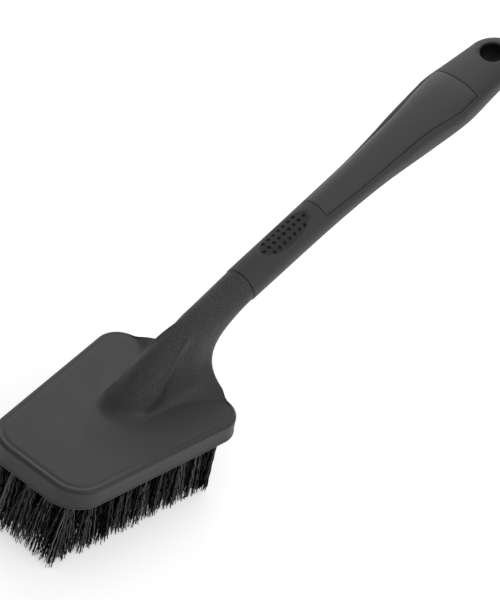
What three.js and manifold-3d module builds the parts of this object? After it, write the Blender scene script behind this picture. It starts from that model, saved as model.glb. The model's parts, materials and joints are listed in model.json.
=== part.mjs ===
// Wheel brush: a scrubbing brush with a trapezium head, a swept neck and a two-part grip.
// Millimetres, +Z up, +X from the toe of the head to the end of the handle, +Y to the left.
// The origin is on the bristle tips, under the middle tuft of the seventh row.
import * as THREE from 'three';
import { mergeVertices } from 'three/addons/utils/BufferGeometryUtils.js';
import Module from 'manifold-3d';

const wasm = await Module();
wasm.setup();

// ---------------------------------------------------------------- driving dimensions

// Block of the head
const BLOCK_LENGTH = 147;
const TOE_WIDTH = 80;
const HEEL_WIDTH = 118;
const BLOCK_THICKNESS = 14;
const TOE_CORNER_RADIUS = 24;
const HEEL_CORNER_RADIUS = 18;
const EDGE_ROUND = 1.5;

// Tufts and the blind holes that hold them
const TUFT_ROW_COUNTS = [5, 5, 6, 6, 6, 6, 7, 7, 7];
const TUFT_EDGE_INSET = 10.5;
const TUFT_HEEL_INSET = 17;
const ORIGIN_ROW = 6;
const BRISTLE_LENGTH = 46;
const TUFT_HOLE_RADIUS = 3.4;
const TUFT_HOLE_DEPTH = 10;
const TUFT_TIP_GAP = 0.4;

// Neck, from its foot on the block to the seam where the grip starts
const HANDLE_ANGLE = THREE.MathUtils.degToRad(17);
const SEAM_BEHIND_HEEL = 45.5;
const SEAM_ABOVE_UNDERSIDE = 60.1;
const NECK_RADIUS = 12;
const NECK_FOOT_LENGTH = 72;
const NECK_FOOT_FRONT = 14;
const NECK_FOOT_BACK = 23;
const NECK_FLARE = 13;
const NECK_HEEL_BULGE = 20;
const NECK_HEEL_SPREAD = 18;
const NECK_GROOVE = 1.3;
const NECK_LIFT = 1;

// Grip: overall length from the seam, wall of the soft sleeve, and the hanging hole
const GRIP_LENGTH = 289;
const SLEEVE_PROUD = 0.5;
const SLEEVE_WALL = 3;
const CORE_SHORT_OF_END = 43;
const END_ROUND_LENGTH = 19;
const HANG_HOLE_RADIUS = 8;
const HANG_HOLE_FROM_END = 19;
const HANG_HOLE_CHAMFER = 1.5;

// Dimpled thumb pad on the front of the sleeve
const PAD_CENTRE = 44;
const PAD_HALF_LENGTH = 24;
const PAD_HALF_WIDTH = 9;
const PAD_DEPTH = 0.6;
const DIMPLE_RADIUS = 1.25;
const DIMPLE_DEPTH = 1.4;
const DIMPLE_PITCH = 5;
const DIMPLE_ROW_COUNTS = [7, 9, 7];

// Top panel let into the sleeve, and the pockets in the core beneath it
const PANEL_START = 76;
const PANEL_SHORT_OF_END = 60;
const PANEL_FRONT_WIDTH = 19;
const PANEL_MIDDLE_WIDTH = 25;
const PANEL_REAR_WIDTH = 37;
const POCKET_COUNT = 4;
const POCKET_WIDTH = 9;
const POCKET_DEPTH = 12;
const POCKET_RIB = 6;

// Gap left wherever one piece sits on or in another
const FIT_GAP = 0.3;

// ---------------------------------------------------------------- materials

const plastic = (colour, roughness) =>
  new THREE.MeshStandardMaterial({ color: colour, roughness, metalness: 0 });
const headPlastic = () => plastic(0x2b2a2b, 0.62);
const sleeveRubber = () => plastic(0x2a292c, 0.55);
const panelPlastic = () => plastic(0x2d2c2f, 0.5);
const bristleFibre = () => plastic(0x121213, 0.45);

// ---------------------------------------------------------------- small helpers

const { lerp, clamp, smoothstep } = THREE.MathUtils;
const bell = (value, width) => Math.exp(-((value / width) ** 2));

// A closed geometry becomes a solid for joining and cutting.
function solid(geometry) {
  const bare = geometry.index ? geometry.toNonIndexed() : geometry.clone();
  bare.deleteAttribute('normal');
  bare.deleteAttribute('uv');
  const merged = mergeVertices(bare, 1e-4);
  const vertProperties = new Float32Array(merged.attributes.position.array);
  const triVerts = new Uint32Array(merged.index.array);
  return new wasm.Manifold(new wasm.Mesh({ numProp: 3, vertProperties, triVerts }));
}

function geometryOf(body) {
  const mesh = body.getMesh();
  const geometry = new THREE.BufferGeometry();
  geometry.setAttribute('position', new THREE.BufferAttribute(new Float32Array(mesh.vertProperties), 3));
  geometry.setIndex(new THREE.BufferAttribute(new Uint32Array(mesh.triVerts), 1));
  geometry.computeVertexNormals();
  return geometry;
}

function signedVolume(points, triangles) {
  let volume = 0;
  for (const [a, b, c] of triangles) {
    volume += points[a].dot(new THREE.Vector3().crossVectors(points[b], points[c])) / 6;
  }
  return volume;
}

// A skin through rings of equal point counts, with a flat fan at each end.
function loft(rings) {
  const count = rings[0].length;
  const points = rings.flat();
  const triangles = [];
  for (let r = 0; r + 1 < rings.length; r++) {
    for (let i = 0; i < count; i++) {
      const j = (i + 1) % count;
      const [a, b] = [r * count + i, r * count + j];
      triangles.push([a, b, b + count], [a, b + count, a + count]);
    }
  }
  for (const [ring, flip] of [[0, true], [rings.length - 1, false]]) {
    const centre = new THREE.Vector3();
    rings[ring].forEach((point) => centre.addScaledVector(point, 1 / count));
    const hub = points.push(centre) - 1;
    for (let i = 0; i < count; i++) {
      const edge = [ring * count + i, ring * count + ((i + 1) % count)];
      if (flip) edge.reverse();
      triangles.push([edge[0], edge[1], hub]);
    }
  }
  if (signedVolume(points, triangles) < 0) triangles.forEach((triangle) => triangle.reverse());
  const geometry = new THREE.BufferGeometry().setFromPoints(points);
  geometry.setIndex(triangles.flat());
  return geometry;
}

const steps = (count) => Array.from({ length: count + 1 }, (_, i) => i / count);

// ---------------------------------------------------------------- places that follow from the sizes

const rowPitch = (BLOCK_LENGTH - TUFT_EDGE_INSET - TUFT_HEEL_INSET) / (TUFT_ROW_COUNTS.length - 1);
const toeX = -(TUFT_EDGE_INSET + ORIGIN_ROW * rowPitch);
const heelX = toeX + BLOCK_LENGTH;
const blockBottom = BRISTLE_LENGTH;
const blockTop = blockBottom + BLOCK_THICKNESS;
const coreEnd = GRIP_LENGTH - CORE_SHORT_OF_END;
const panelEnd = GRIP_LENGTH - PANEL_SHORT_OF_END;

const seam = new THREE.Vector3(heelX + SEAM_BEHIND_HEEL, 0, blockBottom + SEAM_ABOVE_UNDERSIDE);
const along = new THREE.Vector3(Math.cos(HANDLE_ANGLE), 0, Math.sin(HANDLE_ANGLE));
const above = new THREE.Vector3(-Math.sin(HANDLE_ANGLE), 0, Math.cos(HANDLE_ANGLE));

// A place on the handle: distance from the seam, sideways, and height over the straight axis.
const onHandle = (distance, side, height) =>
  new THREE.Vector3(0, side, 0).add(seam).addScaledVector(along, distance).addScaledVector(above, height);

// Handle frame as a matrix, for prisms and cylinders that are cut square to the handle.
const handleFrame = new THREE.Matrix4().makeBasis(along, new THREE.Vector3(0, 1, 0), above).setPosition(seam);

// ---------------------------------------------------------------- the block

const halfWidthAt = (x) => lerp(TOE_WIDTH, HEEL_WIDTH, (x - toeX) / BLOCK_LENGTH) / 2;

// The plan of the block: a trapezium with an arc at each corner.
function blockOutline() {
  const corners = [
    [new THREE.Vector2(heelX, -HEEL_WIDTH / 2), HEEL_CORNER_RADIUS],
    [new THREE.Vector2(heelX, HEEL_WIDTH / 2), HEEL_CORNER_RADIUS],
    [new THREE.Vector2(toeX, TOE_WIDTH / 2), TOE_CORNER_RADIUS],
    [new THREE.Vector2(toeX, -TOE_WIDTH / 2), TOE_CORNER_RADIUS],
  ];
  return corners.flatMap(([corner, radius], i) => {
    const before = corners[(i + 3) % 4][0].clone().sub(corner).normalize();
    const after = corners[(i + 1) % 4][0].clone().sub(corner).normalize();
    const half = before.angleTo(after) / 2;
    const middle = before.clone().add(after).normalize();
    const centre = corner.clone().addScaledVector(middle, radius / Math.sin(half));
    const start = Math.atan2(-middle.y, -middle.x) - (Math.PI / 2 - half);
    return steps(6).map((t) => {
      const angle = start + t * (Math.PI - 2 * half);
      return new THREE.Vector2(centre.x + radius * Math.cos(angle), centre.y + radius * Math.sin(angle));
    });
  });
}

function blockPlate() {
  const geometry = new THREE.ExtrudeGeometry(new THREE.Shape(blockOutline()), {
    depth: BLOCK_THICKNESS - 2 * EDGE_ROUND,
    bevelThickness: EDGE_ROUND,
    bevelSize: EDGE_ROUND,
    bevelOffset: -EDGE_ROUND,
    bevelSegments: 3,
  });
  return solid(geometry.translate(0, 0, blockBottom + EDGE_ROUND));
}

// ---------------------------------------------------------------- the neck

// Every section of the neck lies in a plane through one line across the brush: the line where the
// plane of the seam meets the top of the block. The planes fan from level, where the neck stands
// on the block, to square across the handle at the seam.
const fanX = seam.x + (seam.z - blockTop) * Math.tan(HANDLE_ANGLE);
const seamReach = (seam.z - blockTop) / Math.cos(HANDLE_ANGLE);
const fanEnd = Math.PI / 2 - HANDLE_ANGLE;
const footBackReach = fanX - (heelX + NECK_HEEL_BULGE);
const footFrontReach = fanX - (heelX - NECK_FOOT_LENGTH);

// The foot of the neck on the block, from its front centre (t = 0) round to its back centre (t = 1):
// a rounded tongue that widens to the shoulders, then a bell-shaped bulge over the heel edge.
const SHOULDER_T = 0.62;
function footPoint(t) {
  const shoulderHalf = NECK_FOOT_BACK + NECK_FLARE;
  if (t < SHOULDER_T) {
    const s = (1 - Math.cos((Math.PI * t) / SHOULDER_T)) / 2;
    const nose = Math.sqrt(1 - (1 - Math.min(s / 0.25, 1)) ** 2);
    const half = lerp(NECK_FOOT_FRONT, NECK_FOOT_BACK, s) * nose
      + NECK_FLARE * Math.exp((-(1 - s) * NECK_FOOT_LENGTH) / 7);
    return { reach: fanX - (heelX - NECK_FOOT_LENGTH * (1 - s)), half: t === 0 ? 0 : half };
  }
  const half = shoulderHalf * Math.cos((Math.PI / 2) * ((t - SHOULDER_T) / (1 - SHOULDER_T)));
  return { reach: fanX - (heelX + NECK_HEEL_BULGE * bell(half, NECK_HEEL_SPREAD)), half };
}

const NECK_HALF_POINTS = 20;
function neckRing(fan) {
  const left = clamp(1 - fan / fanEnd, 0, 1);
  const inner = lerp(seamReach - NECK_RADIUS, footBackReach, left ** 2);
  const outer = seamReach + NECK_RADIUS + (footFrontReach - seamReach - NECK_RADIUS) * left ** 2.4;
  const half = steps(NECK_HALF_POINTS).map((t) => {
    const foot = footPoint(t);
    const footShare = (foot.reach - footBackReach) / (footFrontReach - footBackReach);
    const roundShare = (1 + Math.cos(Math.PI * t)) / 2;
    const share = lerp(roundShare, footShare, left ** 3);
    const roundHalf = NECK_RADIUS * Math.sin(Math.PI * t);
    const groove = NECK_GROOVE * bell(t - 0.34, 0.06) * Math.sin(Math.PI * left);
    const width = roundHalf + (foot.half - roundHalf) * left ** (9 - 6.5 * share) - groove;
    return { reach: lerp(inner, outer, share), width: t === 1 ? 0 : width };
  });
  const place = ({ reach, width }, side) => new THREE.Vector3(
    fanX - reach * Math.cos(fan), side * width, blockTop + reach * Math.sin(fan));
  return [
    ...half.map((point) => place(point, -1)),
    ...half.slice(1, -1).reverse().map((point) => place(point, 1)),
  ];
}

function neckBody() {
  const foot = neckRing(0);
  const sole = foot.map((point) => point.clone().setZ(blockBottom + NECK_LIFT));
  const fans = steps(14).slice(1).map((t) => fanEnd * t ** 1.6);
  return solid(loft([sole, foot, ...fans.map(neckRing)]));
}

// ---------------------------------------------------------------- the handle

// Stations of the grip, counted from the seam: half width, half depth, and how far the middle of
// the section drops below the straight axis. The front tube stands a little proud of the neck, the
// palm swell follows the panel, and the tail is set out from the end.
const sleeveFront = NECK_RADIUS + SLEEVE_PROUD;
const besidePanel = (share) => lerp(PANEL_START, panelEnd, share);
const GRIP_STATIONS = [
  { at: 0, half: sleeveFront, depth: sleeveFront, drop: 0 },
  { at: besidePanel(0.059), half: 13.2, depth: 12.9, drop: 0 },
  { at: besidePanel(0.3725), half: 14.8, depth: 13.5, drop: 1 },
  { at: besidePanel(0.686), half: 19.2, depth: 14.8, drop: 3 },
  { at: besidePanel(0.9215), half: 22.2, depth: 15, drop: 4.6 },
  { at: GRIP_LENGTH - 44, half: 20.6, depth: 13.2, drop: 6.2 },
  { at: GRIP_LENGTH - END_ROUND_LENGTH, half: 19, depth: 11.2, drop: 7.6 },
];

// A smooth curve through the stations.
function gripSize(name, distance) {
  const list = GRIP_STATIONS;
  const last = list.length - 1;
  if (distance <= list[0].at) return list[0][name];
  if (distance >= list[last].at) return list[last][name];
  const i = list.findIndex((station) => station.at > distance) - 1;
  const slope = (k) => {
    const [a, b] = [list[Math.max(k - 1, 0)], list[Math.min(k + 1, last)]];
    return (b[name] - a[name]) / (b.at - a.at);
  };
  const span = list[i + 1].at - list[i].at;
  const t = (distance - list[i].at) / span;
  return (1 + 2 * t) * (1 - t) ** 2 * list[i][name] + t * (1 - t) ** 2 * span * slope(i)
    + t * t * (3 - 2 * t) * list[i + 1][name] + t * t * (t - 1) * span * slope(i + 1);
}

const GRIP_RING_POINTS = 24;
function gripRing(distance, inset) {
  const endStart = GRIP_LENGTH - END_ROUND_LENGTH;
  const s = clamp((distance - endStart) / (END_ROUND_LENGTH - inset), 0, 0.985);
  const endRound = Math.sqrt(1 - s * s);
  const half = (gripSize('half', distance) - inset) * endRound;
  const depth = (gripSize('depth', distance) - inset) * lerp(0.55, 1, endRound);
  const drop = gripSize('drop', distance);
  const squareness = 2 / lerp(2, 2.4, smoothstep(distance, 60, 200));
  return Array.from({ length: GRIP_RING_POINTS }, (_, i) => {
    const angle = (2 * Math.PI * i) / GRIP_RING_POINTS;
    const [c, n] = [Math.cos(angle), Math.sin(angle)];
    const side = half * Math.sign(n) * Math.abs(n) ** squareness;
    const height = depth * Math.sign(c) * Math.abs(c) ** squareness;
    return onHandle(distance, side, height - drop);
  });
}

// The handle's outer shape, or the same shape drawn in by an inset, between two distances.
function gripBody(from, to, inset) {
  const endStart = GRIP_LENGTH - END_ROUND_LENGTH;
  const bodyStops = steps(16).map((t) => lerp(from, Math.min(to, endStart), t));
  const endStops = to > endStart
    ? steps(5).slice(1).map((t) => lerp(endStart, to, Math.sin((Math.PI / 2) * t)))
    : [];
  return solid(loft([...bodyStops, ...endStops].map((stop) => gripRing(stop, inset))));
}

// The part of the head that runs up inside the sleeve, with pockets that keep its wall even.
function handleCore() {
  const body = gripBody(-3, coreEnd, SLEEVE_WALL + FIT_GAP);
  const span = panelEnd - PANEL_START - 2 * POCKET_RIB;
  const length = (span - (POCKET_COUNT - 1) * POCKET_RIB) / POCKET_COUNT;
  return steps(POCKET_COUNT - 1).reduce((core, t) => {
    const centre = PANEL_START + POCKET_RIB + length / 2 + t * (span - length);
    const roof = gripSize('depth', centre) - gripSize('drop', centre);
    const floor = roof - SLEEVE_WALL - POCKET_DEPTH;
    const box = new THREE.BoxGeometry(length, POCKET_WIDTH, POCKET_DEPTH + 2 * SLEEVE_WALL)
      .translate(centre, 0, floor + POCKET_DEPTH / 2 + SLEEVE_WALL)
      .applyMatrix4(handleFrame);
    return core.subtract(solid(box));
  }, body);
}

// ---------------------------------------------------------------- tufts

function tuftPlaces() {
  const places = [];
  for (const [row, count] of TUFT_ROW_COUNTS.entries()) {
    const x = toeX + TUFT_EDGE_INSET + row * rowPitch;
    const fromToe = x - toeX;
    const fromHeel = heelX - x;
    const cornerCut = (radius, distance) =>
      radius - Math.sqrt(radius ** 2 - Math.max(radius - distance, 0) ** 2);
    const cut = cornerCut(TOE_CORNER_RADIUS, fromToe) + cornerCut(HEEL_CORNER_RADIUS, fromHeel);
    const reach = halfWidthAt(x) - TUFT_EDGE_INSET - cut / 2;
    for (let k = 0; k < count; k++) {
      places.push({ row: row + 1, place: k + 1, x, y: lerp(-reach, reach, k / (count - 1)) });
    }
  }
  return places;
}

// The tips open as far as the closest neighbours leave room for.
function tuftSpread(places) {
  const inRows = places.slice(1).filter((place, i) => place.row === places[i].row);
  const gaps = inRows.map((place) => place.y - places[places.indexOf(place) - 1].y);
  return (Math.min(rowPitch, ...gaps) - TUFT_TIP_GAP) / 2;
}

// A tuft drawn as one body: a round root in its hole, then a bundle that opens to the tips.
function tuftGeometry(spread) {
  const root = TUFT_HOLE_RADIUS - FIT_GAP;
  const top = blockBottom + TUFT_HOLE_DEPTH - FIT_GAP;
  const profile = [
    [0, 0],
    [spread, 0],
    [spread, BRISTLE_LENGTH * 0.3],
    [root, blockBottom - FIT_GAP],
    [root, top],
    [0, top],
  ].map(([radius, height]) => new THREE.Vector2(radius, height));
  return new THREE.LatheGeometry(profile, 8).rotateX(Math.PI / 2);
}

function tuftHole({ x, y }) {
  const depth = TUFT_HOLE_DEPTH + 1;
  return solid(new THREE.CylinderGeometry(TUFT_HOLE_RADIUS, TUFT_HOLE_RADIUS, depth, 8)
    .rotateX(Math.PI / 2)
    .translate(x, y, blockBottom + TUFT_HOLE_DEPTH - depth / 2));
}

// ---------------------------------------------------------------- sleeve and panel

// The window that the panel fills, as a prism square to the handle's straight axis. Its sides
// run nearly straight to the palm swell, spread with it, and stop at a square rear edge.
function panelPrism(gap) {
  const reach = (share) => lerp(PANEL_START + gap, panelEnd - gap, share);
  const side = new THREE.SplineCurve([
    new THREE.Vector2(reach(0), PANEL_FRONT_WIDTH / 2 - gap),
    new THREE.Vector2(reach(0.45), PANEL_MIDDLE_WIDTH / 2 - gap),
    new THREE.Vector2(reach(0.68), lerp(PANEL_MIDDLE_WIDTH, PANEL_REAR_WIDTH, 0.33) / 2 - gap),
    new THREE.Vector2(reach(0.87), PANEL_REAR_WIDTH / 2 - gap),
    new THREE.Vector2(reach(1), PANEL_REAR_WIDTH / 2 - gap),
  ]).getPoints(14);
  const mirrored = side.map((point) => new THREE.Vector2(point.x, -point.y)).reverse();
  const prism = new THREE.ExtrudeGeometry(new THREE.Shape([...side, ...mirrored]), {
    depth: GRIP_STATIONS[0].depth * 2,
    bevelEnabled: false,
  });
  return solid(prism.translate(0, 0, gap).applyMatrix4(handleFrame));
}

// An upright round cutter, square to the handle.
function handleCylinder(top, bottom, height, distance, side, level, sides) {
  return solid(new THREE.CylinderGeometry(top, bottom, height, sides)
    .rotateX(Math.PI / 2)
    .translate(distance, side, level)
    .applyMatrix4(handleFrame));
}

// Height of the grip's surface over the straight axis, on its upper or lower side.
function surfaceHeight(distance, side, up = 1) {
  const half = gripSize('half', distance);
  const depth = gripSize('depth', distance);
  return up * depth * Math.sqrt(1 - (side / half) ** 2) - gripSize('drop', distance);
}

function dimplePlaces() {
  return DIMPLE_ROW_COUNTS.flatMap((count, row) => {
    const side = (row - (DIMPLE_ROW_COUNTS.length - 1) / 2) * DIMPLE_PITCH;
    return Array.from({ length: count }, (_, k) => (
      { distance: PAD_CENTRE + (k - (count - 1) / 2) * DIMPLE_PITCH, side }));
  });
}

function thumbPad(sleeve) {
  const oval = new THREE.CylinderGeometry(1, 1, 30, 32)
    .rotateX(Math.PI / 2)
    .scale(PAD_HALF_LENGTH, PAD_HALF_WIDTH, 1)
    .translate(PAD_CENTRE, 0, 15)
    .applyMatrix4(handleFrame);
  const recess = solid(oval).subtract(gripBody(0, PANEL_START, PAD_DEPTH));
  return dimplePlaces().reduce((body, { distance, side }) => {
    const floor = surfaceHeight(distance, side) - PAD_DEPTH - DIMPLE_DEPTH;
    return body.subtract(handleCylinder(DIMPLE_RADIUS, DIMPLE_RADIUS, 6, distance, side, floor + 3, 8));
  }, sleeve.subtract(recess));
}

function hangHole(sleeve) {
  const centre = GRIP_LENGTH - HANG_HOLE_FROM_END;
  const wide = HANG_HOLE_RADIUS + 2 * HANG_HOLE_CHAMFER;
  const bore = handleCylinder(HANG_HOLE_RADIUS, HANG_HOLE_RADIUS, 60, centre, 0, -9, 32);
  const upper = surfaceHeight(centre, wide * 0.6);
  const lower = surfaceHeight(centre, wide * 0.6, -1);
  const rims = [[upper, wide, HANG_HOLE_RADIUS], [lower, HANG_HOLE_RADIUS, wide]];
  return rims.reduce(
    (body, [level, top, bottom]) => body.subtract(
      handleCylinder(top, bottom, 2 * HANG_HOLE_CHAMFER, centre, 0, level, 32)),
    sleeve.subtract(bore));
}

const grip = gripBody(FIT_GAP, GRIP_LENGTH, 0);
const coreRoom = gripBody(-6, coreEnd + FIT_GAP, SLEEVE_WALL);

const sleeve = hangHole(thumbPad(grip.subtract(coreRoom).subtract(panelPrism(0))));
const panel = grip.intersect(panelPrism(FIT_GAP)).subtract(coreRoom);
const tufts = tuftPlaces();
const tuftTips = tuftSpread(tufts);
const head = tufts.reduce(
  (body, place) => body.subtract(tuftHole(place)),
  blockPlate().add(neckBody()).add(handleCore()));

// ---------------------------------------------------------------- assembly

function part(name, geometry, material) {
  const mesh = new THREE.Mesh(geometry, material);
  mesh.name = name;
  return mesh;
}

const brush = new THREE.Group();
brush.add(part('brush_head', geometryOf(head), headPlastic()));
brush.add(part('grip_sleeve', geometryOf(sleeve), sleeveRubber()));
brush.add(part('grip_panel', geometryOf(panel), panelPlastic()));
for (const { row, place, x, y } of tufts) {
  const tuft = part(`tuft_row${row}_${place}`, tuftGeometry(tuftTips), bristleFibre());
  tuft.position.set(x, y, 0);
  brush.add(tuft);
}

export default brush;
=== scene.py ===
import bmesh
import bpy
import json
import math
from mathutils import Matrix, Vector

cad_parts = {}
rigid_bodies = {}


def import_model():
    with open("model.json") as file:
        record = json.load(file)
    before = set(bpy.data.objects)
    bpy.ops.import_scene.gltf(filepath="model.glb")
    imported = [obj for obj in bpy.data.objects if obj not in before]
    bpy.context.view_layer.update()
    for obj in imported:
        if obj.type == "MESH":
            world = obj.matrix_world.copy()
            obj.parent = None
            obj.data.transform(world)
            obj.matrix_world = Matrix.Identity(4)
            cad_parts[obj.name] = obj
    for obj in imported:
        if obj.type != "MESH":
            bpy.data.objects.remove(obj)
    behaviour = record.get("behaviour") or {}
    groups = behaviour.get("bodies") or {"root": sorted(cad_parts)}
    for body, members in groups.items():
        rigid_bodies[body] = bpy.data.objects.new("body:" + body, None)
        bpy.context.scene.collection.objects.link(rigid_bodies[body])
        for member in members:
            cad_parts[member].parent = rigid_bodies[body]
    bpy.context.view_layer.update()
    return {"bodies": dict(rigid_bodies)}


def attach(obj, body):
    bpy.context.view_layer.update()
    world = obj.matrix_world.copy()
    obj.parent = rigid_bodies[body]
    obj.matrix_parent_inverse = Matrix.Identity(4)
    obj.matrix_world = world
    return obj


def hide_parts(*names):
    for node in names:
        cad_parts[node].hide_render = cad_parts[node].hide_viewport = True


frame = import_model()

BODY = list(frame["bodies"])[0]


# ---- Stage: a plain white floor, soft studio light and the camera --------------------------------
# A white table that is lit a little from below, a wide bright screen standing behind the brush,
# a softbox overhead, a smaller one lower down on its right, and dim air all round.
scene = bpy.context.scene
scene.view_settings.view_transform = "Standard"
scene.view_settings.look = "None"

world = bpy.data.worlds.new("studio_air")
scene.world = world
world.use_nodes = True
world.node_tree.nodes["Background"].inputs["Color"].default_value = (1.0, 1.0, 1.0, 1.0)
world.node_tree.nodes["Background"].inputs["Strength"].default_value = 0.35

floor_mesh = bpy.data.meshes.new("floor")
floor_mesh.from_pydata([(-4, -4, 0), (4, -4, 0), (4, 4, 0), (-4, 4, 0)], [], [(0, 1, 2, 3)])
floor = bpy.data.objects.new("floor", floor_mesh)
scene.collection.objects.link(floor)
floor_paint = bpy.data.materials.new("floor_paint")
floor_paint.use_nodes = True
floor_shader = floor_paint.node_tree.nodes["Principled BSDF"]
floor_shader.inputs["Base Color"].default_value = (0.85, 0.85, 0.85, 1)
floor_shader.inputs["Roughness"].default_value = 0.9
floor_shader.inputs["Specular IOR Level"].default_value = 0.1
floor_shader.inputs["Emission Color"].default_value = (1.0, 1.0, 1.0, 1)
floor_shader.inputs["Emission Strength"].default_value = 0.45
floor_mesh.materials.append(floor_paint)


def softbox(name, place, target, size, brightness):
    lamp = bpy.data.lights.new(name, "AREA")
    lamp.shape = "RECTANGLE"
    lamp.size, lamp.size_y = size
    lamp.energy = brightness * math.pi * size[0] * size[1]
    box = bpy.data.objects.new(name, lamp)
    box.location = place
    box.rotation_euler = (Vector(target) - Vector(place)).to_track_quat("-Z", "Y").to_euler()
    scene.collection.objects.link(box)


softbox("back_screen", (1.9, 1.1, 1.15), (0.1, 0.0, 0.1), (3.0, 1.9), 1.15)
softbox("overhead_softbox", (0.25, -0.3, 1.5), (0.1, 0.0, 0.08), (2.4, 2.0), 0.62)
softbox("right_softbox", (0.2, -1.2, 0.8), (0.0, 0.0, 0.08), (0.9, 0.6), 1.8)

camera_data = bpy.data.cameras.new("camera")
camera_data.sensor_width = 36.0
camera_data.lens = 150.0
camera = bpy.data.objects.new("camera", camera_data)
scene.collection.objects.link(camera)
scene.camera = camera
azimuth = math.radians(-149.03)
elevation = math.radians(38.31)
roll = math.radians(13.61)
distance = 1.6489
back = Vector((math.cos(azimuth) * math.cos(elevation),
               math.sin(azimuth) * math.cos(elevation),
               math.sin(elevation)))
level = Vector((0, 0, 1)).cross(back).normalized()
upright = back.cross(level)
right = math.cos(roll) * level + math.sin(roll) * upright
up = math.cos(roll) * upright - math.sin(roll) * level
turn = Matrix((right, up, back)).transposed().to_4x4()
camera.matrix_world = Matrix.Translation(Vector((0.1091, 0.0, 0.085)) + back * distance) @ turn


# ---- Block of the head --------------------------------------------------------------------------
# The flat trapezium block of the brush: black polypropylene, injection moulded in one piece with
# the neck and the core of the handle. Its top edge carries a low rounded bead with a shallow
# groove inside it, and its lower edge a thin lip.
MM = 0.001
BLOCK_LENGTH = 147.0
TOE_WIDTH = 80.0
HEEL_WIDTH = 118.0
TOE_CORNER_RADIUS = 24.0
HEEL_CORNER_RADIUS = 18.0
BLOCK_BOTTOM = 46.0
BLOCK_TOP = 60.0
TOE_DRAFT = 1.6
TUFT_ROW_COUNTS = [5, 5, 6, 6, 6, 6, 7, 7, 7]
TUFT_EDGE_INSET = 10.5
TUFT_HEEL_INSET = 17.0
row_pitch = (BLOCK_LENGTH - TUFT_EDGE_INSET - TUFT_HEEL_INSET) / (len(TUFT_ROW_COUNTS) - 1)
toe_x = -(TUFT_EDGE_INSET + 6 * row_pitch)
heel_x = toe_x + BLOCK_LENGTH


def mix(a, b, t):
    return a + (b - a) * t


def ease(t):
    t = min(max(t, 0.0), 1.0)
    return t * t * (3 - 2 * t)


def block_outline(inset, height):
    """One level of the block. The groove in its top grows faint towards the heel, under the webs."""
    draft = TOE_DRAFT * (height - BLOCK_BOTTOM) / (BLOCK_TOP - BLOCK_BOTTOM)
    corners = [
        (Vector((heel_x, -HEEL_WIDTH / 2)), HEEL_CORNER_RADIUS),
        (Vector((heel_x, HEEL_WIDTH / 2)), HEEL_CORNER_RADIUS),
        (Vector((toe_x, TOE_WIDTH / 2)), TOE_CORNER_RADIUS),
        (Vector((toe_x, -TOE_WIDTH / 2)), TOE_CORNER_RADIUS),
    ]
    points = []
    for i, (corner, radius) in enumerate(corners):
        before = (corners[i - 1][0] - corner).normalized()
        after = (corners[(i + 1) % 4][0] - corner).normalized()
        half = before.angle(after) / 2
        middle = (before + after).normalized()
        centre = corner + middle * radius / math.sin(half)
        start = math.atan2(-middle.y, -middle.x) - (math.pi / 2 - half)
        for k in range(25):
            angle = start + k / 24 * (math.pi - 2 * half)
            x = centre.x + (radius - inset) * math.cos(angle)
            y = centre.y + (radius - inset) * math.sin(angle)
            x += draft * ease(1 - (x - toe_x) / 22)
            faded = 0.8 * ease((x - heel_x + 52) / 34) if inset > 3 else 0.0
            points.append(Vector((x, y, mix(height, BLOCK_TOP, faded))) * MM)
    return points


def skin(name, rings):
    """A closed skin through rings of equal counts, with a flat cap on each end."""
    mesh = bpy.data.meshes.new(name)
    build = bmesh.new()
    rows = [[build.verts.new(point) for point in ring] for ring in rings]
    count = len(rows[0])
    for low, high in zip(rows, rows[1:]):
        for i in range(count):
            j = (i + 1) % count
            build.faces.new((low[i], low[j], high[j], high[i]))
    build.faces.new(rows[0])
    build.faces.new(rows[-1])
    bmesh.ops.recalc_face_normals(build, faces=build.faces)
    build.to_mesh(mesh)
    build.free()
    piece = bpy.data.objects.new(name, mesh)
    scene.collection.objects.link(piece)
    return piece


block_section = [(8.0, BLOCK_BOTTOM), (1.4, BLOCK_BOTTOM)]
block_section += [(0.7 - 0.7 * math.sin(a), BLOCK_BOTTOM + 0.7 - 0.7 * math.cos(a))
                  for a in (math.radians(d) for d in (0, 30, 60, 90))]
block_section += [(0.0, 47.1), (0.3, 47.5), (0.45, 47.9)]
block_section += [(0.45 + 2.4 - 2.4 * math.cos(a), BLOCK_TOP - 2.4 + 2.4 * math.sin(a))
                  for a in (math.radians(d) for d in range(0, 91, 15))]
block_section += [(3.3, 59.92), (3.8, 59.7), (4.4, 59.56), (5.1, 59.53), (5.8, 59.65),
                  (6.5, 59.83), (7.2, 59.96), (8.0, 60.0), (10.0, 60.0)]
head = skin("brush_head_moulding", [block_outline(inset, z) for inset, z in block_section])


# ---- Neck ---------------------------------------------------------------------------------------
# Part of the same moulding: it stands on the rear of the block as a long tongue with two webs
# that flare to the shoulders, runs over the heel edge, and sweeps up into the round shank. The
# fillet round its foot is low and narrow at the nose, and higher at the heel.
HANDLE_ANGLE = math.radians(17)
SEAM = Vector((heel_x + 45.5, 0.0, BLOCK_BOTTOM + 60.1))
NECK_RADIUS = 12.0
NECK_FOOT_LENGTH = 72.0
NECK_FOOT_FRONT = 14.0
NECK_FOOT_BACK = 23.0
NECK_FLARE = 13.0
NECK_HEEL_BULGE = 20.0
NECK_HEEL_SPREAD = 18.0
NECK_FILLET_HEIGHT = 5.5
NECK_FILLET_HEIGHT_AT_HEEL = 14.0
NECK_FILLET_AT_NOSE = 6.0
NECK_FILLET_AT_SIDE = 12.0
NECK_FILLET_AT_HEEL = 9.0
NECK_HALF_STEPS = 120
NECK_RIDGE = 1.2
NECK_VALLEY = 2.3
fan_x = SEAM.x + (SEAM.z - BLOCK_TOP) * math.tan(HANDLE_ANGLE)
seam_reach = (SEAM.z - BLOCK_TOP) / math.cos(HANDLE_ANGLE)
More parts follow.
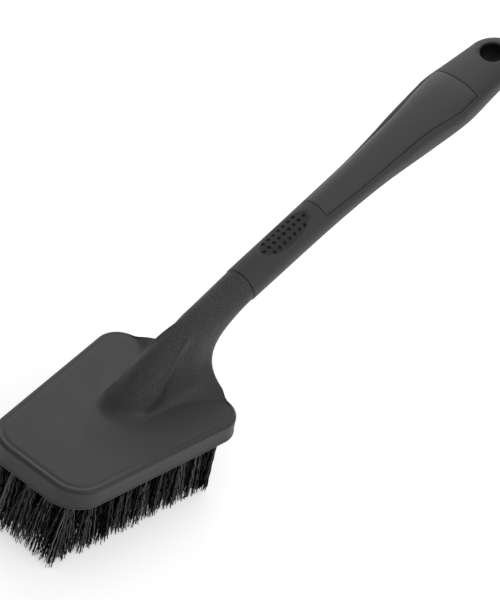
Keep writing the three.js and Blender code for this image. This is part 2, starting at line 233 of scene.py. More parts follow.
fan_end = math.pi / 2 - HANDLE_ANGLE
foot_back_reach = fan_x - (heel_x + NECK_HEEL_BULGE)
foot_front_reach = fan_x - (heel_x - NECK_FOOT_LENGTH)


def bell(value, width):
    return math.exp(-((value / width) ** 2))


def foot_point(t):
    if t < 0.62:
        s = (1 - math.cos(math.pi * t / 0.62)) / 2
        nose = math.sqrt(1 - (1 - min(s / 0.25, 1)) ** 2)
        half = mix(NECK_FOOT_FRONT, NECK_FOOT_BACK, s) * nose
        half += NECK_FLARE * math.exp(-(1 - s) * NECK_FOOT_LENGTH / 7)
        return fan_x - (heel_x - NECK_FOOT_LENGTH * (1 - s)), half if t > 0 else 0.0
    half = (NECK_FOOT_BACK + NECK_FLARE) * math.cos(math.pi / 2 * (t - 0.62) / 0.38)
    return fan_x - (heel_x + NECK_HEEL_BULGE * bell(half, NECK_HEEL_SPREAD)), half


def crease_at(left):
    """Place of the crease round the section: it starts beside the foot and closes on the top line."""
    knots = [(0.0, 0.0), (0.23, 0.016), (0.37, 0.047), (0.52, 0.094), (0.64, 0.156), (0.75, 0.2),
             (0.84, 0.228), (1.0, 0.24)]
    i = max(k for k in range(len(knots) - 1) if knots[k][0] <= left)
    (a, low), (b, high) = knots[i], knots[i + 1]
    return mix(low, high, (left - a) / (b - a))


def heel_edge(y):
    """How far back the block reaches at this distance from its middle line."""
    gone = max(abs(y) - (HEEL_WIDTH / 2 - HEEL_CORNER_RADIUS), 0.0)
    return heel_x - HEEL_CORNER_RADIUS + math.sqrt(max(HEEL_CORNER_RADIUS ** 2 - gone ** 2, 0.0))


def neck_ring(fan):
    """A section of the neck, from its foot on the block at 0 to the round seam at fan_end."""
    left = min(max(1 - fan / fan_end, 0.0), 1.0)
    inner = mix(seam_reach - NECK_RADIUS, foot_back_reach, left ** 2)
    outer = seam_reach + NECK_RADIUS + (foot_front_reach - seam_reach - NECK_RADIUS) * left ** 2.4
    valley = NECK_VALLEY * ease((left - 0.52) / 0.25) * ease((1.02 - left) / 0.12)
    ridge = NECK_RIDGE * ease((left - 0.5) / 0.2) * ease((1.0 - left) / 0.1)
    half_ring = []
    for k in range(NECK_HALF_STEPS + 1):
        t = k / NECK_HALF_STEPS
        foot_reach, foot_half = foot_point(t)
        foot_share = (foot_reach - foot_back_reach) / (foot_front_reach - foot_back_reach)
        share = mix((1 + math.cos(math.pi * t)) / 2, foot_share, left ** 3)
        round_half = NECK_RADIUS * math.sin(math.pi * t)
        past = t - crease_at(left)
        dip = valley * ease(past / 0.06) * (1 - ease((past - 0.06) / 0.16))
        dip -= ridge * bell(past + 0.012, 0.022)
        width = round_half + (foot_half - round_half) * left ** (9 - 6.5 * share)
        width -= dip * math.sin(math.pi * t)
        reach = mix(inner, outer, share) - dip * math.cos(math.pi * t)
        point = Vector((fan_x - reach * math.cos(fan),
                        0.0 if k in (0, NECK_HALF_STEPS) else width,
                        BLOCK_TOP + reach * math.sin(fan)))
        rise = point.z - BLOCK_TOP
        at_heel = ease((point.x - heel_x + 16) / 12)
        fillet_height = mix(NECK_FILLET_HEIGHT, NECK_FILLET_HEIGHT_AT_HEEL, at_heel)
        if rise < fillet_height:
            fillet = mix(NECK_FILLET_AT_NOSE, NECK_FILLET_AT_SIDE, ease((point.y - 12) / 16))
            fillet = mix(fillet, NECK_FILLET_AT_HEEL, at_heel)
            swell = fillet * (1 - math.sqrt(1 - (1 - rise / fillet_height) ** 2))
            nose_share = ease((heel_x - NECK_FOOT_LENGTH + 20 - point.x) / 20)
            point.x -= swell * nose_share
            if 0 < k < NECK_HALF_STEPS:
                point.y += swell * math.sqrt(1 - nose_share ** 2) * ease((point.y - 8) / 24 + nose_share)
                limit = min(point.x, heel_edge(point.y) - mix(0.5, 3.4, ease((point.y - 32) / 12)))
                point.x = mix(point.x, limit, ease((point.y - 31) / 7))
        half_ring.append(point)
    mirrored = [Vector((p.x, -p.y, p.z)) for p in reversed(half_ring[1:-1])]
    return [p * MM for p in half_ring + mirrored]


neck_foot = neck_ring(0.0)
neck_sole = [Vector((p.x, p.y, (BLOCK_BOTTOM + 1) * MM)) for p in neck_foot]
neck = skin("neck", [neck_sole, neck_foot] + [neck_ring(fan_end * (k / 70) ** 1.7) for k in range(1, 71)])


# ---- Core of the handle -------------------------------------------------------------------------
# The shank of the same moulding, which runs up inside the grip. Four pockets under the panel keep
# its walls even, so that it doesn't sink as it cools.
SLEEVE_WALL = 3.0
FIT_GAP = 0.3
GRIP_LENGTH = 289.0
CORE_LENGTH = 246.0
END_ROUND_LENGTH = 19.0
GRIP_STATIONS = [
    (0, 12.5, 12.5, 0.0), (85, 13.2, 12.9, 0.0), (133, 14.8, 13.5, 1.0), (181, 19.2, 14.8, 3.0),
    (217, 22.2, 15.0, 4.6), (245, 20.6, 13.2, 6.2), (270, 19.0, 11.2, 7.6),
]
along = Vector((math.cos(HANDLE_ANGLE), 0, math.sin(HANDLE_ANGLE)))
above = Vector((-math.sin(HANDLE_ANGLE), 0, math.cos(HANDLE_ANGLE)))


def on_handle(distance, side, height):
    return (SEAM + Vector((0, side, 0)) + along * distance + above * height) * MM


def through_stations(stations, i, distance, column):
    """A smooth curve through the stations, read between station i and the next."""
    last = len(stations) - 1

    def slope(k):
        a, b = stations[max(k - 1, 0)], stations[min(k + 1, last)]
        return (b[column] - a[column]) / (b[0] - a[0])

    a, b = stations[i], stations[i + 1]
    span = b[0] - a[0]
    t = (distance - a[0]) / span
    return ((1 + 2 * t) * (1 - t) ** 2 * a[column] + t * (1 - t) ** 2 * span * slope(i)
            + t * t * (3 - 2 * t) * b[column] + t * t * (t - 1) * span * slope(i + 1))


def grip_size(column, distance):
    """Column 1 is the half width, 2 the half depth and 3 the drop below the straight axis."""
    last = len(GRIP_STATIONS) - 1
    if distance <= GRIP_STATIONS[0][0]:
        return GRIP_STATIONS[0][column]
    if distance >= GRIP_STATIONS[last][0]:
        return GRIP_STATIONS[last][column]
    i = max(k for k in range(last) if GRIP_STATIONS[k][0] <= distance)
    return through_stations(GRIP_STATIONS, i, distance, column)


def squareness(distance):
    return mix(2.0, 2.4, ease((distance - 60) / 140))


def grip_ring(distance, inset, count):
    s = min(max((distance - GRIP_LENGTH + END_ROUND_LENGTH) / (END_ROUND_LENGTH - inset), 0.0), 0.998)
    end_round = math.sqrt(1 - s * s)
    half = (grip_size(1, distance) - inset) * end_round
    depth = (grip_size(2, distance) - inset) * mix(0.55, 1, end_round)
    power = 2 / squareness(distance)
    ring = []
    for k in range(count):
        c, n = math.cos(2 * math.pi * k / count), math.sin(2 * math.pi * k / count)
        side = half * math.copysign(abs(n) ** power, n)
        height = depth * math.copysign(abs(c) ** power, c)
        ring.append(on_handle(distance, side, height - grip_size(3, distance)))
    return ring


def grip_height(distance, side):
    """Height of the grip's upper surface over the straight axis."""
    power = squareness(distance)
    share = min(abs(side) / grip_size(1, distance), 0.999)
    return grip_size(2, distance) * (1 - share ** power) ** (1 / power) - grip_size(3, distance)


def keep_result(piece, modifier):
    """Takes the modifier off and keeps what it made as a plain mesh."""
    view = bpy.context.evaluated_depsgraph_get()
    result = bpy.data.meshes.new_from_object(piece.evaluated_get(view))
    piece.modifiers.remove(modifier)
    old = piece.data
    piece.data = result
    result.name = piece.name
    bpy.data.meshes.remove(old)


def combine(target, tool, operation):
    """Joins the tool to the target or cuts it out of it, and clears the tool away."""
    modifier = target.modifiers.new("combine", "BOOLEAN")
    modifier.operation = operation
    modifier.solver = "MANIFOLD"
    modifier.object = tool
    keep_result(target, modifier)
    bpy.data.objects.remove(tool)


core_stops = [-3 + k * (CORE_LENGTH + 3) / 60 for k in range(61)]
core = skin("core", [grip_ring(u, SLEEVE_WALL + FIT_GAP, 48) for u in core_stops])
POCKET_STARTS = [82.0, 119.25, 156.5, 193.75]
POCKET_LENGTH = 29.25
POCKET_HALF_WIDTH = 4.5
POCKET_DEPTH = 12
for start in POCKET_STARTS:
    floor_height = grip_height(start + 14.6, 0) - SLEEVE_WALL - POCKET_DEPTH
    corners = [(start, -POCKET_HALF_WIDTH), (start, POCKET_HALF_WIDTH),
               (start + POCKET_LENGTH, POCKET_HALF_WIDTH), (start + POCKET_LENGTH, -POCKET_HALF_WIDTH)]
    pocket = skin("pocket", [[on_handle(u, v, floor_height + rise) for u, v in corners]
                             for rise in (0.0, 18.0)])
    combine(core, pocket, "DIFFERENCE")
combine(neck, core, "UNION")
combine(head, neck, "UNION")


# ---- Tuft holes ---------------------------------------------------------------------------------
# Blind holes drilled in the underside of the block, one for each tuft. Small cutters are set out
# on the hole centres with Geometry Nodes and cut from the moulding in one go.
TUFT_HOLE_RADIUS = 3.4
TUFT_HOLE_DEPTH = 10.0
CUTTER_OVERRUN = 1.0


def half_width_at(x):
    return mix(TOE_WIDTH, HEEL_WIDTH, (x - toe_x) / BLOCK_LENGTH) / 2


def corner_cut(radius, gone):
    return radius - math.sqrt(radius ** 2 - max(radius - gone, 0) ** 2)


tuft_rows = []
for row, count in enumerate(TUFT_ROW_COUNTS):
    x = toe_x + TUFT_EDGE_INSET + row * row_pitch
    cut = corner_cut(TOE_CORNER_RADIUS, x - toe_x) + corner_cut(HEEL_CORNER_RADIUS, heel_x - x)
    reach = half_width_at(x) - TUFT_EDGE_INSET - cut / 2
    tuft_rows.append([(x, mix(-reach, reach, k / (count - 1))) for k in range(count)])


def new_tree(name, sizes):
    """A node tree for a mesh modifier, with a named input for each of its sizes."""
    tree = bpy.data.node_groups.new(name, "GeometryNodeTree")
    tree.interface.new_socket("Geometry", in_out="OUTPUT", socket_type="NodeSocketGeometry")
    tree.interface.new_socket("Geometry", in_out="INPUT", socket_type="NodeSocketGeometry")
    for label, kind in sizes:
        tree.interface.new_socket(label, in_out="INPUT", socket_type="NodeSocket" + kind)
    return tree, tree.nodes.new("NodeGroupInput"), tree.nodes.new("NodeGroupOutput")


def feed(tree, socket, value):
    if isinstance(value, bpy.types.NodeSocket):
        tree.links.new(value, socket)
    elif value is not None:
        socket.default_value = value


def node(tree, kind, settings=None, **inputs):
    """Adds a node, sets its settings and feeds its sockets by name, with _ for a space."""
    added = tree.nodes.new(kind)
    for key, value in (settings or {}).items():
        setattr(added, key, value)
    for key, value in inputs.items():
        wanted = key.replace("_", " ")
        feed(tree, next(s for s in added.inputs if s.name == wanted and s.enabled), value)
    return added


def out(added, name=None):
    return next(s for s in added.outputs if s.enabled and (name is None or s.name == name))


def calc(tree, operation, *values):
    added = tree.nodes.new("ShaderNodeMath")
    added.operation = operation
    for socket, value in zip(added.inputs, values):
        feed(tree, socket, value)
    return added.outputs[0]


def grow(piece, tree, values):
    """Runs a tree on a piece with these input values and keeps the result as a plain mesh."""
    modifier = piece.modifiers.new("grow", "NODES")
    modifier.node_group = tree
    for item in tree.interface.items_tree:
        if item.in_out == "INPUT" and item.name in values:
            modifier[item.identifier] = values[item.name]
    keep_result(piece, modifier)


def seats(name, places, **facts):
    """Loose points in millimetres, with a vector attribute for each fact."""
    mesh = bpy.data.meshes.new(name)
    mesh.from_pydata([Vector(place) * MM for place in places], [], [])
    for fact, values in facts.items():
        layer = mesh.attributes.new(fact, "FLOAT_VECTOR", "POINT")
        for i, value in enumerate(values):
            layer.data[i].vector = value
    piece = bpy.data.objects.new(name, mesh)
    scene.collection.objects.link(piece)
    return piece


cutters, cutter_in, cutter_out = new_tree("round_cutters", [
    ("Sides", "Int"), ("Top Radius", "Float"), ("Bottom Radius", "Float"), ("Depth", "Float"),
    ("Finish", "Material")])
cone = node(cutters, "GeometryNodeMeshCone", {"fill_type": "NGON"}, Vertices=cutter_in.outputs["Sides"],
            Radius_Top=cutter_in.outputs["Top Radius"], Radius_Bottom=cutter_in.outputs["Bottom Radius"],
            Depth=cutter_in.outputs["Depth"])
facing = node(cutters, "GeometryNodeInputNamedAttribute", {"data_type": "FLOAT_VECTOR"}, Name="facing")
aligned = node(cutters, "FunctionNodeAlignRotationToVector", {"axis": "Z"}, Vector=out(facing, "Attribute"))
placed = node(cutters, "GeometryNodeInstanceOnPoints", Points=cutter_in.outputs["Geometry"],
              Instance=out(cone, "Mesh"), Rotation=out(aligned))
solid_copies = node(cutters, "GeometryNodeRealizeInstances", Geometry=out(placed))
finished = node(cutters, "GeometryNodeSetMaterial", Geometry=out(solid_copies),
                Material=cutter_in.outputs["Finish"])
feed(cutters, cutter_out.inputs["Geometry"], out(finished))

# Black polypropylene: satin on the block, and with the coarse matt grain of a spark-eroded mould
# on the neck above it.
head_plastic = bpy.data.materials.new("head_plastic")
head_plastic.use_nodes = True
shade = head_plastic.node_tree
place = node(shade, "ShaderNodeTexCoord")
height = node(shade, "ShaderNodeSeparateXYZ", Vector=out(place, "Object")).outputs[2]
coarse = node(shade, "ShaderNodeMapRange", {"interpolation_type": "SMOOTHSTEP"}, Value=height,
              From_Min=0.062, From_Max=0.069, To_Min=0.12, To_Max=1.0)
grain = node(shade, "ShaderNodeTexNoise", Vector=out(place, "Object"),
             Scale=1000.0, Detail=3.0, Roughness=0.6)
pits = node(shade, "ShaderNodeTexVoronoi", Vector=out(place, "Object"), Scale=900.0)
cloud = node(shade, "ShaderNodeTexNoise", Vector=out(place, "Object"), Scale=45.0, Detail=2.0)
rough = calc(shade, "MULTIPLY_ADD", out(pits, "Distance"), 0.5, out(grain))
tone = node(shade, "ShaderNodeValToRGB", Fac=out(grain))
tone.color_ramp.elements[0].position = 0.34
tone.color_ramp.elements[0].color = (0.012, 0.012, 0.012, 1)
tone.color_ramp.elements[1].position = 0.7
tone.color_ramp.elements[1].color = (0.048, 0.046, 0.046, 1)
tint = node(shade, "ShaderNodeMix", {"data_type": "RGBA"}, Factor=out(coarse))
feed(shade, tint.inputs[6], (0.02, 0.0194, 0.0197, 1))
feed(shade, tint.inputs[7], out(tone, "Color"))
dull = node(shade, "ShaderNodeMapRange", Value=out(cloud), To_Min=0.43, To_Max=0.51)
duller = calc(shade, "MULTIPLY_ADD", out(coarse), 0.1, out(dull))
relief = node(shade, "ShaderNodeBump", Strength=out(coarse), Distance=0.0003, Height=rough)
shader = shade.nodes["Principled BSDF"]
feed(shade, shader.inputs["Base Color"], tint.outputs[2])
feed(shade, shader.inputs["Roughness"], duller)
feed(shade, shader.inputs["Normal"], out(relief))

hole_places = [(x, y, BLOCK_BOTTOM - CUTTER_OVERRUN) for row in tuft_rows for x, y in row]
holes = seats("tuft_holes", hole_places, facing=[(0, 0, 1)] * len(hole_places))
grow(holes, cutters, {"Sides": 20, "Top Radius": TUFT_HOLE_RADIUS * MM,
                      "Bottom Radius": TUFT_HOLE_RADIUS * MM,
                      "Depth": (TUFT_HOLE_DEPTH + CUTTER_OVERRUN) * MM, "Finish": head_plastic})
combine(head, holes, "DIFFERENCE")


def finish_piece(piece, material, crease):
    """One material, smooth faces and sharp edges where they turn by more than the crease."""
    build = bmesh.new()
    build.from_mesh(piece.data)
    bmesh.ops.remove_doubles(build, verts=build.verts, dist=1e-6)
    bmesh.ops.recalc_face_normals(build, faces=build.faces)
    build.to_mesh(piece.data)
    build.free()
    piece.data.materials.clear()
    piece.data.materials.append(material)
    piece.data.shade_smooth()
    piece.data.set_sharp_from_angle(angle=math.radians(crease))


finish_piece(head, head_plastic, 38)
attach(head, BODY)
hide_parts("brush_head")


# ---- Grip sleeve --------------------------------------------------------------------------------
# Black thermoplastic rubber, moulded over the core: a round front tube, two rails beside the
# panel's window that swell for the palm, and a flat tail with the hanging hole. It has a shallow
# dished pad for the thumb, set with dimples. Its surface is smooth satin.
PANEL_START = 76.0
PANEL_END = 229.0
PAD_CENTRE = 44.0
PAD_HALF_LENGTH = 24.0
PAD_HALF_WIDTH = 9.0
PAD_DEPTH = 0.6
HANG_HOLE_CENTRE = 270.0
HANG_HOLE_RADIUS = 8.0
DIMPLE_PITCH = 5.0
DIMPLE_TOP_RADIUS = 1.65
DIMPLE_BOTTOM_RADIUS = 1.1
DIMPLE_CUTTER_DEPTH = 2.0
DIMPLE_DEPTH = 1.3

sleeve_stops = [(FIT_GAP + 0.5 - 0.5 * math.cos(a), 0.5 - 0.5 * math.sin(a))
                for a in (math.radians(d) for d in (0, 25, 50, 75, 90))]
sleeve_stops += [(2.0 + k * (GRIP_LENGTH - END_ROUND_LENGTH - 2) / 150, 0.0) for k in range(151)]
sleeve_stops += [(GRIP_LENGTH - END_ROUND_LENGTH * (1 - math.sin(math.pi / 2 * k / 24)), 0.0)
                 for k in range(1, 25)]
sleeve = skin("grip_sleeve_moulding", [grip_ring(u, inset, 112) for u, inset in sleeve_stops])
room_stops = [-6 + k * (CORE_LENGTH + FIT_GAP + 6) / 80 for k in range(81)]
combine(sleeve, skin("core_room", [grip_ring(u, SLEEVE_WALL, 64) for u in room_stops]), "DIFFERENCE")


def panel_half(share):
    """Half width of the window along its length: nearly straight, then spread with the palm swell."""
    knots = [(0.0, 9.5), (0.225, 11.1), (0.45, 12.5), (0.68, 14.5), (0.87, 18.35), (1.0, 18.5)]
    i = max(k for k in range(len(knots) - 1) if knots[k][0] <= share + 1e-9)
    return through_stations(knots, i, share, 1)


def along_side(share):
    """0 at the window's square ends and 1 along its sides."""
    return ease(share / 0.03) * (1 - ease((share - 0.86) / 0.12))


def window_ring(tight, wide):
    """One level of the window's edge. Each pair is how far it stands out and its height: tight at
    the square ends, wide along the sides."""
    side = []
    for k in range(121):
        share = k / 120
        distance = mix(PANEL_START - tight[0], PANEL_END + tight[0], share)
        weight = along_side(share)
        deep = mix(0.75, 1.0, ease(share / 0.5))
        grown = mix(tight[0], wide[0] * deep, weight)
        wide_height = wide[1] * (deep if wide[1] > -5 else 1)
        side.append((distance, panel_half(share) + grown, mix(tight[1], wide_height, weight)))
    front, rear = side[0], side[-1]
    loop = [(front[0], mix(-1, 1, k / 12) * front[1], tight[1]) for k in range(13)]
    loop += side[1:] + [(rear[0], mix(1, -1, k / 16) * rear[1], tight[1]) for k in range(1, 17)]
    loop += [(u, -v, rise) for u, v, rise in reversed(side[1:-1])]
    return [on_handle(u, v, 24.0 if tight[1] > 1 else grip_height(u, v) + rise) for u, v, rise in loop]


window_lip = [((0.0, -9.0), (0.0, -9.0)), ((0.0, -0.2), (0.0, -2.1)), ((0.05, -0.08), (0.4, -1.9)),
              ((0.12, 0.0), (1.2, -1.2)), ((0.16, 0.02), (2.2, -0.5)), ((0.2, 0.03), (3.6, 0.03)),
              ((0.25, 4.0), (4.0, 4.0))]
combine(sleeve, skin("window", [window_ring(tight, wide) for tight, wide in window_lip]), "DIFFERENCE")

pad_rings = []
for share, rise in [(0.02, 4.0), (1.03, 4.0), (1.03, 0.05), (1.0, -0.06), (0.97, -0.25), (0.93, -0.45),
                    (0.88, -0.56), (0.82, -PAD_DEPTH), (0.6, -PAD_DEPTH), (0.4, -PAD_DEPTH),
                    (0.2, -PAD_DEPTH), (0.02, -PAD_DEPTH)]:
    oval = []
    for k in range(72):
        angle = 2 * math.pi * k / 72
        u = PAD_CENTRE + PAD_HALF_LENGTH * share * math.cos(angle)
        v = PAD_HALF_WIDTH * share * math.sin(angle)
        oval.append(on_handle(u, v, grip_height(u, v) + rise))
    pad_rings.append(oval)
combine(sleeve, skin("thumb_pad", pad_rings), "DIFFERENCE")

dimple_places, dimple_facing = [], []
for row, count in enumerate([7, 9, 7]):
    for k in range(count):
        u, v = PAD_CENTRE + (k - (count - 1) / 2) * DIMPLE_PITCH, (row - 1) * DIMPLE_PITCH
        slope = (grip_height(u, v + 0.1) - grip_height(u, v - 0.1)) / 0.2
        outwards = (above - Vector((0, 1, 0)) * slope).normalized()
        dimple_places.append(on_handle(u, v, grip_height(u, v) - PAD_DEPTH) / MM - outwards * DIMPLE_DEPTH)
        dimple_facing.append(outwards)
dimples = seats("dimples", dimple_places, facing=dimple_facing)

# Satin rubber: blue-black, slightly uneven in gloss, with a very fine grain. One mask makes the
# thumb pad duller and paints shade into its dish, and the other paints shadow into the inside of
# the hanging hole, nearly black and almost without reflection.
sleeve_rubber = bpy.data.materials.new("sleeve_rubber")
sleeve_rubber.use_nodes = True
shade = sleeve_rubber.node_tree
place = node(shade, "ShaderNodeTexCoord")
grain = node(shade, "ShaderNodeTexNoise", Vector=out(place, "Object"), Scale=2600.0, Detail=2.0)
cloud = node(shade, "ShaderNodeTexNoise", Vector=out(place, "Object"), Scale=60.0, Detail=3.0)
tone = node(shade, "ShaderNodeValToRGB", Fac=out(cloud))
tone.color_ramp.elements[0].color = (0.0225, 0.0222, 0.025, 1)
tone.color_ramp.elements[1].color = (0.0295, 0.029, 0.0325, 1)
dull = node(shade, "ShaderNodeMapRange", Value=out(cloud), To_Min=0.49, To_Max=0.59)
masks = []
for middle, reach, inner, outer in (
        ((PAD_CENTRE, 0.0, 12.5), (PAD_HALF_LENGTH, PAD_HALF_WIDTH, 40.0), 0.9, 1.04),
        ((HANG_HOLE_CENTRE, 0.0, -7.6), (8.8, 8.8, 400.0), 0.98, 1.1)):
    seat = node(shade, "ShaderNodeMapping", {"vector_type": "TEXTURE"}, Vector=out(place, "Object"),
                Location=on_handle(*middle), Rotation=(0.0, -HANDLE_ANGLE, 0.0),
                Scale=[r * MM for r in reach])
    away = node(shade, "ShaderNodeVectorMath", {"operation": "LENGTH"}, Vector=out(seat))
    masks.append(out(node(shade, "ShaderNodeMapRange", {"interpolation_type": "SMOOTHSTEP"},
                          Value=out(away, "Value"), From_Min=inner, From_Max=outer,
                          To_Min=1.0, To_Max=0.0)))
pad_mask, hole_shadow_mask = masks
# Painted shade: the thumb pad's dish is coloured darker than the rest of the rubber.
pad_painted_shade = node(shade, "ShaderNodeMix", {"data_type": "RGBA"}, Factor=pad_mask)
feed(shade, pad_painted_shade.inputs[6], out(tone, "Color"))
feed(shade, pad_painted_shade.inputs[7], (0.017, 0.0165, 0.018, 1))
# Painted shadow: the inside of the hanging hole is coloured nearly black.
hole_painted_shadow = node(shade, "ShaderNodeMix", {"data_type": "RGBA"}, Factor=hole_shadow_mask)
feed(shade, hole_painted_shadow.inputs[6], pad_painted_shade.outputs[2])
feed(shade, hole_painted_shadow.inputs[7], (0.006, 0.0055, 0.005, 1))
# Painted shadow as well: the inside of the hole loses nearly all its reflection.
sheen = node(shade, "ShaderNodeMapRange", Value=hole_shadow_mask, To_Min=0.5, To_Max=0.06)
duller = calc(shade, "MULTIPLY_ADD", pad_mask, 0.14, out(dull))
relief = node(shade, "ShaderNodeBump", Strength=0.3, Distance=0.00008, Height=out(grain))
shader = shade.nodes["Principled BSDF"]
feed(shade, shader.inputs["Base Color"], hole_painted_shadow.outputs[2])
feed(shade, shader.inputs["Roughness"], duller)
feed(shade, shader.inputs["Specular IOR Level"], out(sheen))
feed(shade, shader.inputs["Normal"], out(relief))

grow(dimples, cutters, {"Sides": 16, "Top Radius": DIMPLE_TOP_RADIUS * MM,
                        "Bottom Radius": DIMPLE_BOTTOM_RADIUS * MM,
                        "Depth": DIMPLE_CUTTER_DEPTH * MM, "Finish": sleeve_rubber})
combine(sleeve, dimples, "DIFFERENCE")

hole_level = grip_height(HANG_HOLE_CENTRE, 9.0)
hole_floor = -2 * grip_size(3, HANG_HOLE_CENTRE) - hole_level
hole_section = [(12.2, hole_level + 6), (12.2, hole_level + 1.2), (11.4, hole_level + 0.45),
                (10.3, hole_level + 0.05), (9.2, hole_level - 0.5), (8.4, hole_level - 1.3),
                (HANG_HOLE_RADIUS, hole_level - 2.2)]
hole_section += [(mix(HANG_HOLE_RADIUS, radius, 0.15), hole_floor - (level - hole_level))
                 for radius, level in reversed(hole_section)]
hole_angles = [2 * math.pi * k / 64 for k in range(64)]
hole_rings = [[on_handle(HANG_HOLE_CENTRE + radius * math.cos(a), radius * math.sin(a), level)
               for a in hole_angles] for radius, level in hole_section]
combine(sleeve, skin("hanging_hole", hole_rings), "DIFFERENCE")

finish_piece(sleeve, sleeve_rubber, 38)
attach(sleeve, BODY)
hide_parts("grip_sleeve")


# ---- Top panel ----------------------------------------------------------------------------------
# A smooth black plastic inlay that closes the top of the grip, pressed into the sleeve's window.
# Its long edges roll down into the joint, more so towards the palm.
PANEL_GAP = 0.4
panel_rings = []
panel_length = PANEL_END - PANEL_START - 2 * PANEL_GAP
panel_stops = [0.0, 0.08, 0.22, 0.4] + [k * panel_length / 180 for k in range(1, 180)]
panel_stops += [panel_length - gone for gone in (0.4, 0.22, 0.08, 0.0)]
for stop in panel_stops:
    share = (stop + PANEL_GAP) / (PANEL_END - PANEL_START)
    distance = PANEL_START + PANEL_GAP + stop
    half = panel_half(share) - PANEL_GAP
    to_end = min(stop, panel_length - stop)
    end_drop = 0.3 * max(1 - to_end / 0.4, 0.0) ** 2
    weight = along_side(share)
    roll_depth = mix(0.3, mix(1.3, 2.2, ease(share / 0.6)), weight)
    roll_width = mix(0.8, mix(2.4, 5.5, ease(share / 0.6)), weight)
    top, bottom = [], []
    for i in range(65):
        side = half * math.sin(math.pi / 2 * mix(-1, 1, i / 64))
        rolled = roll_depth * max(1 - (half - abs(side)) / roll_width, 0.0) ** 2
        surface = grip_height(distance, side)
        top.append(on_handle(distance, side, surface - rolled - end_drop))
        power = squareness(distance)
        inside = min(abs(side) / (grip_size(1, distance) - SLEEVE_WALL), 1.0)
        roof = (grip_size(2, distance) - SLEEVE_WALL) * (1 - inside ** power) ** (1 / power)
        roof -= grip_size(3, distance)
        bottom.append(on_handle(distance, side, max(roof, surface - 5.0) + 0.15))
    panel_rings.append(top + bottom[::-1])
panel = skin("grip_panel_inlay", panel_rings)

# Smooth moulded plastic, a little glossier than the rubber, with faint flow marks.
panel_plastic = bpy.data.materials.new("panel_plastic")
panel_plastic.use_nodes = True
shade = panel_plastic.node_tree
place = node(shade, "ShaderNodeTexCoord")
grain = node(shade, "ShaderNodeTexNoise", Vector=out(place, "Object"), Scale=1800.0, Detail=2.0)
cloud = node(shade, "ShaderNodeTexNoise", Vector=out(place, "Object"), Scale=35.0, Detail=3.0)
tone = node(shade, "ShaderNodeValToRGB", Fac=out(cloud))
tone.color_ramp.elements[0].color = (0.026, 0.026, 0.029, 1)
tone.color_ramp.elements[1].color = (0.034, 0.034, 0.038, 1)
dull = node(shade, "ShaderNodeMapRange", Value=out(cloud), To_Min=0.38, To_Max=0.46)
relief = node(shade, "ShaderNodeBump", Strength=0.25, Distance=0.00008, Height=out(grain))
shader = shade.nodes["Principled BSDF"]
feed(shade, shader.inputs["Base Color"], out(tone, "Color"))
feed(shade, shader.inputs["Roughness"], out(dull))
feed(shade, shader.inputs["Normal"], out(relief))

finish_piece(panel, panel_plastic, 38)
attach(panel, BODY)
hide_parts("grip_panel")


# ---- Tufts --------------------------------------------------------------------------------------
# Bundles of crimped black filament, folded double and driven into their holes row by row. Each
# opens towards its tips, the outer ones lean outwards, and the trimmed tips are a little uneven.
BRISTLE_LENGTH = BLOCK_BOTTOM
ROOT_DEPTH = 8.0
ROOT_HALF_WIDTH = 2.3
FILAMENT_RADIUS = 0.3
FILAMENTS_PER_TUFT = 150
FILAMENTS_PER_TOE_TUFT = 210
CRIMP_HEIGHT = 0.42
CRIMP_LENGTH = 11.0
BOW = 1.8
UNEVEN = 8.0
LEAN_TO_TOE = 14.0
LEAN_TO_HEEL = -2.0
LEAN_TO_SIDE = 4.8
FULL_TURN = 6.283
filaments, fil_in, fil_out = new_tree("tuft_filaments", [
    ("Filaments", "Int"), ("Root Half Width", "Float"), ("Length", "Float"), ("Root Depth", "Float"),
    ("Filament Radius", "Float"), ("Crimp Height", "Float"), ("Crimp Length", "Float"), ("Bow", "Float"),
    ("Uneven", "Float"), ("Seed", "Int"), ("Finish", "Material")])


def chance(tree, low, high, salt, per=None):
    added = tree.nodes.new("FunctionNodeRandomValue")
    added.data_type = "FLOAT"
    feed(tree, next(s for s in added.inputs if s.name == "Min" and s.enabled), low)
    feed(tree, next(s for s in added.inputs if s.name == "Max" and s.enabled), high)
    feed(tree, added.inputs["ID"], per)
    feed(tree, added.inputs["Seed"], calc(tree, "ADD", fil_in.outputs["Seed"], salt))
    return out(added)


def keep(tree, geometry, name, value, kind="FLOAT"):
    stored = node(tree, "GeometryNodeStoreNamedAttribute", {"data_type": kind, "domain": "POINT"},
                  Geometry=geometry, Name=name, Value=value)
    return out(stored)


def recall(tree, name, kind="FLOAT"):
    return out(node(tree, "GeometryNodeInputNamedAttribute", {"data_type": kind}, Name=name), "Attribute")


def parts_of(tree, vector):
    return node(tree, "ShaderNodeSeparateXYZ", Vector=vector).outputs


t = filaments
tuft_number = out(node(t, "GeometryNodeInputIndex"))
bundle = fil_in.outputs["Geometry"]
bundle = keep(t, bundle, "tuft_phase", chance(t, 0.0, FULL_TURN, 11, tuft_number))
bundle = keep(t, bundle, "tuft_turn", chance(t, 0.0, 3.1416, 12, tuft_number))
copies = node(t, "GeometryNodeDuplicateElements", {"domain": "POINT"}, Geometry=bundle,
              Amount=fil_in.outputs["Filaments"])
strand = out(node(t, "GeometryNodeInputIndex"))
bundle = out(copies, "Geometry")
bundle = keep(t, bundle, "across", chance(t, -1.0, 1.0, 1, strand))
bundle = keep(t, bundle, "aside", chance(t, -1.0, 1.0, 2, strand))
bundle = keep(t, bundle, "phase", calc(t, "ADD", recall(t, "tuft_phase"), chance(t, -1.3, 1.3, 3, strand)))
bundle = keep(t, bundle, "turn", calc(t, "ADD", recall(t, "tuft_turn"), chance(t, -1.2, 1.2, 4, strand)))
bundle = keep(t, bundle, "stray", calc(t, "POWER", chance(t, 0.0, 1.0, 5, strand), 12.0))
